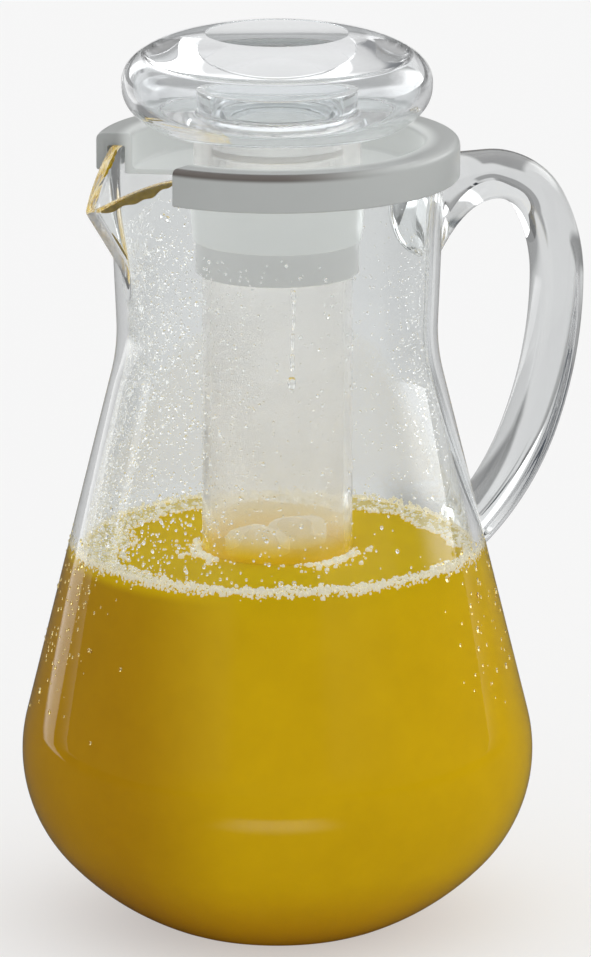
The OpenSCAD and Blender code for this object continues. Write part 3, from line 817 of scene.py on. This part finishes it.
def baseProfile():
    # disc, hub above it and spigot below it, with the groove that takes the seal
    seat, top = knob["seat"], knob["seat"] + knob["baseT"]
    mid = (seat + knob["spigotEnd"]) / 2
    spigotIn, spigotR, end = knob["spigotIn"], knob["spigotR"], knob["spigotEnd"]
    edge, hubIn = knob["baseR"] - knob["joint"], knob["hubR"] - knob["hubT"]
    spigot = [[spigotIn, seat], [spigotIn, end], [spigotR, end]]
    groove = [[spigotR, mid - knob["groove"]], [knob["grooveR"], mid - knob["groove"]],
              [knob["grooveR"], mid + knob["groove"]], [spigotR, mid + knob["groove"]]]
    disc = [[spigotR, seat], [edge, seat], [edge, top]]
    hub = [[knob["hubR"], top], [knob["hubR"], knob["hubTop"]], [hubIn, knob["hubTop"]], [hubIn, top]]
    outline = roundCorners(spigot + groove + disc + hub, 0.4 * mm, 4)
    return np.concatenate([[[0, seat]], outline, [[0, top]]])


clearKnob = clearMaterial("clearKnob", tint=(0.96, 0.975, 0.985), ior=1.52, low=0.0, high=0.015,
                          scale=25.0, wave=0.03)
clearBase = clearMaterial("clearBase", tint=(0.96, 0.975, 0.985), ior=1.52, low=0.0, high=0.05,
                          scale=25.0, wave=0.06)
revolvePiece("knobDome", domeProfile(), clearKnob, "knob", "clear_knob", "knob_dome", cols=144, sharpAngle=35)
revolvePiece("knobBase", baseProfile(), clearBase, "knob", "clear_base", "knob_base", cols=128, sharpAngle=50)

seal = dict(r=20.0 * mm, thick=2.2 * mm)
sealZ = (knob["seat"] + knob["spigotEnd"]) / 2
sealWhite = mottleMaterial("sealWhite", dark=(0.72, 0.72, 0.69), light=(0.8, 0.8, 0.77), scale=120.0,
                           rough=0.45, wave=0.05)
sealOutline = arcPoints(seal["r"], sealZ, seal["thick"] / 2, 0, 337.5, 16)
revolvePiece("knobSeal", sealOutline, sealWhite, "knob", "seal", "knob_seal", cols=96, closed=True)


# dew: low drops on the inside of the vessel, on the tube, and a few outside at the drink's level

dew = dict(
    seed=11, inside=26000, outside=2400, tube=4200, squat=0.5, lift=0.012 * mm, cols=6,
    insideSize=(0.30, 0.42, 0.14, 0.9), outsideSize=(0.45, 0.4, 0.2, 1.1), tubeSize=(0.24, 0.4, 0.12, 0.7),
    aboveDrink=3 * mm, underRim=24 * mm, lowest=60 * mm, overDrink=8 * mm, tubeFrom=4 * mm,
    underCollar=1 * mm)
dewPatches = dict(  # each patch has its density, its middle and its width in degrees
    inside=[(0.8, 200, 42), (0.35, 150, 30)], insideThin=0.05, byHandle=[(0.75, 346, 20)],
    byHandleRise=(140 * mm, 170 * mm), outside=[(1.0, 200, 16), (0.8, 340, 14)], outsideThin=0.002,
    outsideRise=(65 * mm, 110 * mm), tube=[(0.75, 205, 40), (0.15, 340, 30)], tubeThin=0.1)
waterRun = dict(  # one run of water down the tube's front, drop by drop
    z=[0.2065, 0.2035, 0.199, 0.193, 0.1865, 0.1785], turn=282, sway=[0, 0.6, 0.2, -0.5, -0.8, -1.2],
    size=[0.9, 0.7, 0.65, 0.6, 0.8, 1.5], sag=[4.5, 6, 8, 9, 7, 2.2])


def dropSizes(rng, size, count):
    # log-normal radii round a middle size in mm, held between a smallest and a largest
    middle, spread, low, high = size
    return np.clip(rng.lognormal(math.log(middle), spread, count), low, high) * mm


def dropPoints(centres, normals, radii, sag):
    # a unit cap of four rings scaled by each radius in its own frame of side, down and out, drawn down by sag
    rings = np.array([[0, 0], [1, 0], [0.8, 0.62], [0, 1]])
    a = np.linspace(0, 2 * np.pi, dew["cols"], endpoint=False)
    down = -np.array([0, 0, 1.0]) + normals[:, 2:] * normals
    down /= np.linalg.norm(down, axis=1, keepdims=True)
    side = np.cross(normals, down)
    x = rings[:, :1] * np.cos(a)
    y = rings[:, :1] * np.sin(a)
    h = rings[:, 1:] * dew["squat"] + 0 * a
    r = radii[:, None, None, None]
    long = np.where(y > 0, y * sag[:, None, None], y)
    body = x[None, ..., None] * side[:, None, None] + long[..., None] * down[:, None, None]
    points = centres[:, None, None] + r * (body + h[None, ..., None] * normals[:, None, None])
    return repeatedGrids(points + dew["lift"] * normals[:, None, None])


def wallPlaces(angle, z, radius, slope, inward):
    # points on a turned wall and the normals there, from its radius and the slope of its radius with height
    out = np.stack([np.cos(angle), np.sin(angle), -slope], axis=1)
    out /= np.linalg.norm(out, axis=1, keepdims=True)
    at = np.stack([radius * np.cos(angle), radius * np.sin(angle), z], axis=1)
    return at, -out if inward else out


def bell(angle, middle, width):
    # bell curve over the circle, in degrees from the picture's right-hand side, counted through the back
    off = (np.degrees(angle) + pictureTurn - middle + 180) % 360 - 180
    return np.exp(-(off / width) ** 2)


def density(angle, patches):
    # sum of the patches' bell curves
    return sum(most * bell(angle, middle, width) for most, middle, width in patches)


def wallSlope(z, inset):
    # change of radius with height, by central difference
    return (sideRadius(z + 0.5 * mm, inset) - sideRadius(z - 0.5 * mm, inset)) / (1 * mm)


def dewInside(rng):
    # thick on the spout's side and by the handle, thin elsewhere, finer toward the drink
    angle = rng.uniform(-np.pi, np.pi, dew["inside"])
    z = rng.uniform(juiceTop + dew["aboveDrink"], rimZ - dew["underRim"], dew["inside"])
    byHandle = density(angle, dewPatches["byHandle"]) * smoothStep(z, *dewPatches["byHandleRise"])
    chance = dewPatches["insideThin"] + density(angle, dewPatches["inside"]) + byHandle
    keep = rng.random(dew["inside"]) < chance
    angle, z = angle[keep], z[keep]
    radii = dropSizes(rng, dew["insideSize"], len(z))
    at, out = wallPlaces(angle, z, sideRadius(z, vessel["wall"]), wallSlope(z, vessel["wall"]), True)
    return dropPoints(at, out, radii, 1 + rng.random(len(z)) * 0.5)


def dewOutside(rng):
    # two patches beside the drink, below its level
    angle = rng.uniform(-np.pi, np.pi, dew["outside"])
    z = rng.uniform(dew["lowest"], juiceTop + dew["overDrink"], dew["outside"])
    chance = density(angle, dewPatches["outside"]) * smoothStep(z, *dewPatches["outsideRise"])
    chance = chance + dewPatches["outsideThin"]
    keep = rng.random(dew["outside"]) < chance
    angle, z = angle[keep], z[keep]
    radii = dropSizes(rng, dew["outsideSize"], len(z))
    at, out = wallPlaces(angle, z, sideRadius(z), wallSlope(z, 0.0), False)
    return dropPoints(at, out, radii, 1 + rng.random(len(z)) * 0.6)


def dewTube(rng):
    # fine drops all over the tube, thicker on the spout's side, and the run of water
    n, runLength = dew["tube"], len(waterRun["z"])
    angle = rng.uniform(-np.pi, np.pi, n)
    z = rng.uniform(juiceTop + dew["tubeFrom"], collarBox[0][2] - dew["underCollar"], n)
    keep = rng.random(n) < dewPatches["tubeThin"] + density(angle, dewPatches["tube"])
    angle, z = angle[keep], z[keep]
    radii = dropSizes(rng, dew["tubeSize"], len(z))
    runAngle = np.radians(waterRun["turn"] - pictureTurn + np.array(waterRun["sway"]))
    angle, z = np.append(angle, runAngle), np.append(z, waterRun["z"])
    radii = np.append(radii, np.array(waterRun["size"]) * mm)
    sag = 1 + rng.random(len(z)) * 0.4
    sag[-runLength:] = waterRun["sag"]
    at, out = wallPlaces(angle, z, 0 * z + tube["r"], 0 * z, False)
    return dropPoints(at, out, radii, sag)


# painted: the yellow tint stands in for the drink seen through the drops on the outside
waterClear = clearMaterial("waterClear", tint=(0.90, 0.76, 0.36), ior=1.33, low=0.0, high=0.02,
                           scale=200.0, wave=0.02)
mistClear = clearMaterial("mistClear", tint=(0.985, 0.99, 0.99), ior=1.33, low=0.0, high=0.02,
                          scale=200.0, wave=0.02)
# painted light: the drops glow faintly white
addGlow(mistClear, strength=0.03)
dewRng = np.random.default_rng(dew["seed"])
addPiece("dewInside", buildMesh("dewInside", *dewInside(dewRng)), mistClear, "pitcher", "clear_body")
addPiece("dewOutside", buildMesh("dewOutside", *dewOutside(dewRng)), waterClear, "pitcher", "clear_body")
addPiece("dewTube", buildMesh("dewTube", *dewTube(dewRng)), mistClear, "core", "clear_tube")


# foam: bubbles along the wall and round the tube, on a thin ragged mat

foam = dict(
    seed=4, ring=3900, wall=3400, tube=320, cols=6, rows=4, mat=0.5 * mm, matWide=6.5 * mm, matWave=1.9 * mm,
    matBulge=6 * mm, bulgeAt=(190, 40), ringShare=1.15, ringCrowd=1.5, wallUp=0.2 * mm, wallSpread=0.9 * mm,
    wallOut=0.1 * mm, clusters=(196.0, 318.0), clusterSpread=16, clusterReach=2.2 * mm,
    ringSize=(0.42, 0.42, 0.2, 1.3), wallSize=(0.42, 0.35, 0.25, 0.9), tubeSize=(0.55, 0.4, 0.3, 1.3))


def bubblePoints(centres, radii):
    # the same small ball at each place, scaled by its radius
    u = np.linspace(0, 2 * np.pi, foam["cols"], endpoint=False)
    v = np.linspace(0, np.pi, foam["rows"])[:, None]
    ball = np.stack([np.sin(v) * np.cos(u), np.sin(v) * np.sin(u), np.cos(v) + 0 * u], axis=2)
    return repeatedGrids(centres[:, None, None] + radii[:, None, None, None] * ball)


def matWidth(angle):
    # width of the foam along the wall: a few sine waves of different lengths round the circle
    wave = np.sin(3 * angle + 0.7) + 0.7 * np.sin(7 * angle + 2.1)
    wave = wave + 0.5 * np.sin(13 * angle) + 0.3 * np.sin(29 * angle)
    return foam["matWide"] + foam["matWave"] * wave + foam["matBulge"] * bell(angle, *foam["bulgeAt"])


def foamMat():
    # a flat ring at the wall with a ragged inner edge: outer edge, raised top, inner edge, underside
    a = np.linspace(0, 2 * np.pi, 360, endpoint=False)
    share = np.array([0, 0.05, 0.3, 0.6, 0.85, 1.0, 0.5])[:, None]
    rise = np.array([0.2, 0.8, 1.0, 0.9, 0.7, -0.2, -0.4])[:, None]
    r = juiceEdge - 0.1 * mm - share * matWidth(a)
    z = juiceLevel(r) + rise * foam["mat"]
    return withQuads(np.stack([r * np.cos(a), r * np.sin(a), z], axis=2), closeRows=True)


def foamBubbles(rng):
    # crowded toward the wall, some pressed against the glass, and two clusters at the tube
    a = rng.uniform(-np.pi, np.pi, foam["ring"])
    radii = dropSizes(rng, foam["ringSize"], foam["ring"])
    inward = foam["ringShare"] * rng.random(foam["ring"]) ** foam["ringCrowd"]
    r = juiceEdge - radii - matWidth(a) * inward
    ring = np.stack([r * np.cos(a), r * np.sin(a), juiceLevel(r) + 0.25 * radii], axis=1)
    a = rng.uniform(-np.pi, np.pi, foam["wall"])
    small = dropSizes(rng, foam["wallSize"], foam["wall"])
    z = juiceTop + juice["creep"] + rng.normal(foam["wallUp"], foam["wallSpread"], foam["wall"])
    r = np.interp(z, juiceCurve[:, 1], juiceCurve[:, 0]) + foam["wallOut"] - 0.5 * small
    wall = np.stack([r * np.cos(a), r * np.sin(a), z], axis=1)
    side = rng.choice(foam["clusters"], foam["tube"])
    a = np.radians(side - pictureTurn + rng.normal(0, foam["clusterSpread"], foam["tube"]))
    fine = dropSizes(rng, foam["tubeSize"], foam["tube"])
    r = tube["r"] + fine + rng.exponential(foam["clusterReach"], foam["tube"])
    cluster = np.stack([r * np.cos(a), r * np.sin(a), juiceTop + 0.3 * fine], axis=1)
    return bubblePoints(np.concatenate([ring, wall, cluster]), np.concatenate([radii, small, fine]))


foamGold = mottleMaterial("foamGold", dark=(0.80, 0.60, 0.07), light=(0.90, 0.76, 0.24), scale=500.0,
                          rough=0.2, wave=0.2)
# painted light: the foam mat glows a little in its own colours
addGlow(foamGold, strength=0.12)
foamCream = mottleMaterial("foamCream", dark=(0.90, 0.83, 0.54), light=(0.99, 0.97, 0.92), scale=1400.0,
                           rough=0.15, wave=0.3)
# painted light: the bubbles glow in their own colours
addGlow(foamCream, strength=0.28)
addPiece("foamMat", buildMesh("foamMat", *foamMat()), foamGold, "pitcher", "juice")
foamRng = np.random.default_rng(foam["seed"])
addPiece("foamBubbles", buildMesh("foamBubbles", *foamBubbles(foamRng)), foamCream, "pitcher", "juice")


# film: the drink left on the lip, and a bead at the keel's end

film = dict(
    near=(1.5, 30.0), far=(-29.0, -13.0), nearHigh=2.6 * mm, farHigh=0.9 * mm, nearWobble=0.25, farWobble=0.3,
    thick=0.3 * mm, underRim=0.25 * mm, lift=0.02 * mm, beadZ=rimZ - 25 * mm, beadLong=4.6 * mm,
    beadWide=1.0 * mm, beadFlat=0.5, beadOff=0.7 * mm)


def innerFace(turn, z):
    # radius of the wall's inner face: the plain wall below, and the rim's half round above
    foot = lipHeight(turn) - vessel["rimRound"]
    low, out = wallRadius(turn, foot, vessel["wall"]), wallRadius(turn, foot, 0.0)
    lean = np.sqrt(1 - np.clip((z - foot) / vessel["rimRound"], 0, 1) ** 2)
    return np.where(z > foot, (low + out) / 2 - (out - low) / 2 * lean, wallRadius(turn, z, vessel["wall"]))


def filmStrip(span, high, wobble):
    # a thin closed sleeve laid on the inner face from the rim downward, thinning out at both ends
    share = np.linspace(0, 1, 64)[:, None]
    turn = np.radians(span[0] + (span[1] - span[0]) * share)
    ragged = 1 + wobble * np.sin(7 * share) * np.sin(19 * share)
    taper = np.sqrt(np.clip(np.sin(np.pi * share), 0, 1)) * ragged
    v = np.linspace(0, 2 * np.pi, 16, endpoint=False)[None, :]
    z = lipHeight(turn) - film["underRim"] - high * (1 - np.cos(v)) / 2 * taper
    depth = film["lift"] + film["thick"] * (0.5 + 0.5 * np.sin(v)) * taper
    r = innerFace(turn + 0 * v, z) - depth
    a = turn + np.pi
    return withQuads(np.stack([r * np.cos(a), r * np.sin(a), z], axis=2))


def keelBead():
    # a long drop in the keel's groove: an oval ball drawn out along the groove
    u = np.linspace(0, 2 * np.pi, 20, endpoint=False)
    v = np.linspace(-np.pi / 2, np.pi / 2, 13)[:, None]
    z = film["beadZ"] + film["beadLong"] * np.sin(v) + 0 * u
    r = wallRadius(0 * z, z, vessel["wall"]) - film["beadOff"]
    out, side = film["beadFlat"] * np.cos(v) * np.cos(u), np.cos(v) * np.sin(u)
    return withQuads(np.stack([-r + film["beadWide"] * out, film["beadWide"] * side, z], axis=2))


def filmMaterial():
    # amber drink in a thin layer: brown and gold clouds, a little clear
    mat = mottleMaterial("juiceFilm", dark=(0.20, 0.10, 0.0), light=(0.80, 0.54, 0.0), scale=520.0,
                         rough=0.12, wave=0.3)
    bsdf = mat.node_tree.nodes["Principled BSDF"]
    bsdf.inputs["Transmission Weight"].default_value = 0.12
    bsdf.inputs["Specular IOR Level"].default_value = 0.15
    return mat


nearFilm = filmStrip(film["near"], film["nearHigh"], film["nearWobble"])
farFilm = filmStrip(film["far"], film["farHigh"], film["farWobble"])
filmMesh = buildMesh("lipFilm", *joinGrids([nearFilm, farFilm, keelBead()]))
addPiece("lipFilm", filmMesh, filmMaterial(), "pitcher", "juice")


# camera: a long lens from the spout's left front, a little above

shot = dict(far=2.6, high=0.8044, focal=324.1, aimUp=0.135, right=0.00567, lift=0.00626)


def placeCamera():
    # the eye stands on a circle round the axis; the aim is a point on it, shifted along the picture's axes
    turn = math.radians(pictureTurn)
    c, s = math.cos(turn), math.sin(turn)
    eye = Vector((-shot["far"] * s, -shot["far"] * c, shot["high"]))
    look = (Vector((0, 0, shot["aimUp"])) - eye).normalized()
    right = Vector((c, -s, 0))
    aim = Vector((0, 0, shot["aimUp"])) + right * shot["right"] + right.cross(look) * shot["lift"]
    lens = bpy.data.cameras.new("camera")
    lens.sensor_width = 36
    lens.lens = shot["focal"]
    lens.clip_end = 50
    cam = bpy.data.objects.new("camera", lens)
    cam.location = eye
    cam.rotation_euler = (aim - eye).to_track_quat("-Z", "Y").to_euler()
    scene.collection.objects.link(cam)
    scene.camera = cam


placeCamera()


# studio: pale floor under a plain room of white walls, with a few dark screens for the clear pieces to show

studio = dict(
    floor=0.82, size=12.0, sheet=(0.48, 0.96), around=0.45, seen=0.76, mirrored=0.1, mirrorFade=(2.6, 0.4),
    paper=0.46, paperShare=0.5, backdrop=0.92, strength=0.70, ceiling=1.75, low=0.15, lowZone=(0.3, 0.12),
    highZone=(0.42, 0.62), fillShare=0.7, clouds=0.004, drop=0.2 * mm,
    fill=[(0.00, 1.9), (0.06, 1.5), (0.14, 0.45), (0.32, 0.4), (0.5, 1.2), (0.7, 2.0), (0.85, 2.2),
          (1.0, 1.9)],
    walls=[(0.00, 0.1), (0.05, 0.1), (0.08, 0.5), (0.24, 0.5), (0.26, 0.1), (0.285, 0.1), (0.29, 2.2),
           (0.305, 2.2), (0.312, 0.1), (0.345, 0.12), (0.37, 0.9), (0.41, 1.0), (0.418, 2.6), (0.44, 2.6),
           (0.448, 1.15), (0.585, 1.15), (0.60, 4.0), (0.70, 4.0), (0.755, 0.25), (0.79, 0.25), (0.81, 0.55),
           (0.92, 0.5), (0.95, 0.1)])
floorCard = dict(  # mirrored in the belly's front
    level=1.2, side=(0.10, 0.03), near=(-0.27, -0.23), far=(-0.16, -0.20))
floorWedge = dict(  # mirrored in the left side of the cone
    level=2.0, edges=[(0.304, (-0.36, -0.46)), (0.968, (-0.60, -0.50))], far=(0.72, 0.88))
floorZones = [  # the floor behind, as seen through the plastic: greys by place across, between two distances
    dict(by="x", half=0.5, near=(0.05, 0.12), far=(0.60, 0.50), levels=[
        (0.00, 0.4), (0.23, 0.4), (0.29, 1.0), (0.55, 1.0), (0.575, 0.4), (0.70, 0.4), (0.75, 0.95)]),
    dict(by="slant", half=1.0, near=(1.15, 1.30), far=(2.4, 2.1), levels=[
        (0.00, 1.0), (0.40, 1.0), (0.43, 0.5), (0.57, 0.5), (0.60, 1.0)]),
    dict(by="slant", half=1.0, near=(2.1, 2.4), far=(9.0, 8.0), levels=[
        (0.00, 0.9), (0.315, 0.9), (0.325, 0.42), (0.352, 0.42), (0.358, 1.25), (0.368, 1.25), (0.373, 0.07),
        (0.392, 0.07), (0.40, 0.9), (0.50, 1.0), (0.512, 0.55), (0.53, 0.42), (0.75, 0.42), (0.78, 0.8)])]


def rampNode(tree, value, levels):
    # grey levels by place along the ramp, the darkest ones a little blue
    node = tree.nodes.new("ShaderNodeValToRGB")
    node.color_ramp.interpolation = "EASE"
    stops = node.color_ramp.elements
    for n, (at, level) in enumerate(levels):
        stop = stops[n] if n < 2 else stops.new(at)
        stop.position = at
        cool = 1.3 if level < 0.15 else 1.0
        stop.color = (level, level * (1 + (cool - 1) * 0.4), level * cool, 1)
    tree.links.new(value, node.inputs["Fac"])
    return node.outputs["Color"]


def mirrorOnly(tree, light):
    # 1 for a mirror image alone, as a ray through plastic counts as both kinds
    rest = mathNode(tree, "SUBTRACT", light["Is Glossy Ray"], light["Is Transmission Ray"])
    return mathNode(tree, "MAXIMUM", rest, 0.0)


def makeRoom():
    # walls by compass angle from a ramp, plain near the floor and a bright ceiling above; light that doesn't
    # come as a mirror image sees a softer room, and the camera sees a plain backdrop
    world = bpy.data.worlds.new("room")
    world.use_nodes = True
    scene.world = world
    tree = world.node_tree
    back = tree.nodes["Background"]
    back.inputs["Strength"].default_value = studio["strength"]
    split = turnedPlace(tree, pictureTurn, "Generated")[1]
    height = split.outputs["Z"]
    angle = mathNode(tree, "ARCTAN2", split.outputs["X"], split.outputs["Y"])
    share = spreadOf(tree, angle, -math.pi, math.pi)
    light = tree.nodes.new("ShaderNodeLightPath").outputs
    lowMirror = productNode(tree, stepOf(tree, height, *studio["lowZone"]), mirrorOnly(tree, light))
    colour = mixColours(tree, lowMirror, rampNode(tree, share, studio["walls"]), grey(studio["low"]))
    fillShare = studio["fillShare"]
    soft = mathNode(tree, "MULTIPLY_ADD", light["Is Glossy Ray"], -fillShare, fillShare)
    colour = mixColours(tree, soft, colour, rampNode(tree, share, studio["fill"]))
    colour = mixColours(tree, stepOf(tree, height, *studio["highZone"]), colour, grey(studio["ceiling"]))
    colour = mixColours(tree, light["Is Camera Ray"], colour, grey(studio["backdrop"] / studio["strength"]))
    tree.links.new(colour, back.inputs["Color"])


def floorMaterial():
    # pale to the camera, in part by itself; other light meets a pale sheet on a greyer floor, which is dimmer
    # through the plastic and in mirror images, and carries a bright card and wedge for the walls to mirror
    dark, light = (studio["floor"],) * 3, (studio["floor"] + studio["clouds"],) * 3
    mat = mottleMaterial("floorPale", dark, light, scale=3.0, rough=0.9, wave=0.0)
    tree = mat.node_tree
    bsdf = tree.nodes["Principled BSDF"]
    bsdf.inputs["Specular IOR Level"].default_value = 0.0
    place, split = turnedPlace(tree, pictureTurn)
    x, y = split.outputs["X"], split.outputs["Y"]
    off = mathNode(tree, "ABSOLUTE", x)
    light = tree.nodes.new("ShaderNodeLightPath").outputs
    through, camera, mirror = light["Is Transmission Ray"], light["Is Camera Ray"], mirrorOnly(tree, light)
    outside = productNode(tree, stepOf(tree, off, *studio["sheet"]), light["Is Glossy Ray"])
    pale = bsdf.inputs["Base Color"].links[0].from_socket
    colour = mixColours(tree, outside, pale, grey(studio["around"]))
    across = dict(x=x, slant=mathNode(tree, "DIVIDE", x, y))
    for zone in floorZones:
        share = spreadOf(tree, across[zone["by"]], -zone["half"], zone["half"])
        inside = productNode(tree, through, stepOf(tree, y, *zone["near"]), stepOf(tree, y, *zone["far"]))
        colour = mixColours(tree, inside, colour, rampNode(tree, share, zone["levels"]), "MULTIPLY")
    dark = productNode(tree, mirror, stepOf(tree, y, *studio["mirrorFade"]))
    card = productNode(tree, mirror, stepOf(tree, off, *floorCard["side"]),
                       stepOf(tree, y, *floorCard["near"]), stepOf(tree, y, *floorCard["far"]))
    edges = [stepOf(tree, mathNode(tree, "MULTIPLY_ADD", y, lean, x), *edge)
             for lean, edge in floorWedge["edges"]]
    wedge = productNode(tree, mirror, *edges, stepOf(tree, farOut(tree, place), *floorWedge["far"]))
    changes = [(dark, studio["mirrored"] - 1), (through, studio["seen"] - 1), (card, floorCard["level"]),
               (wedge, floorWedge["level"]), (camera, -studio["paperShare"])]
    level = 1.0
    for part, change in changes:
        level = mathNode(tree, "MULTIPLY_ADD", part, change, level)
    tree.links.new(mixColours(tree, 1.0, colour, level, "MULTIPLY"), bsdf.inputs["Base Color"])
    bsdf.inputs["Emission Color"].default_value = (1, 1, 1, 1)
    tree.links.new(mathNode(tree, "MULTIPLY", camera, studio["paper"]), bsdf.inputs["Emission Strength"])
    return mat


def makeFloor():
    # one large square just below the foot
    half = studio["size"] / 2
    corners = np.array([[-half, -half, 0], [half, -half, 0], [half, half, 0], [-half, half, 0]])
    mesh = buildMesh("floor", corners, np.array([[0, 1, 2, 3]]))
    mesh.materials.append(floorMaterial())
    floor = bpy.data.objects.new("floor", mesh)
    floor.location.z = -studio["drop"]
    scene.collection.objects.link(floor)


makeRoom()
makeFloor()
scene.cycles.max_bounces = 64
scene.cycles.transmission_bounces = 64
scene.cycles.glossy_bounces = 64
scene.cycles.transparent_max_bounces = 16
scene.view_settings.view_transform = "Standard"
print("studio ready")
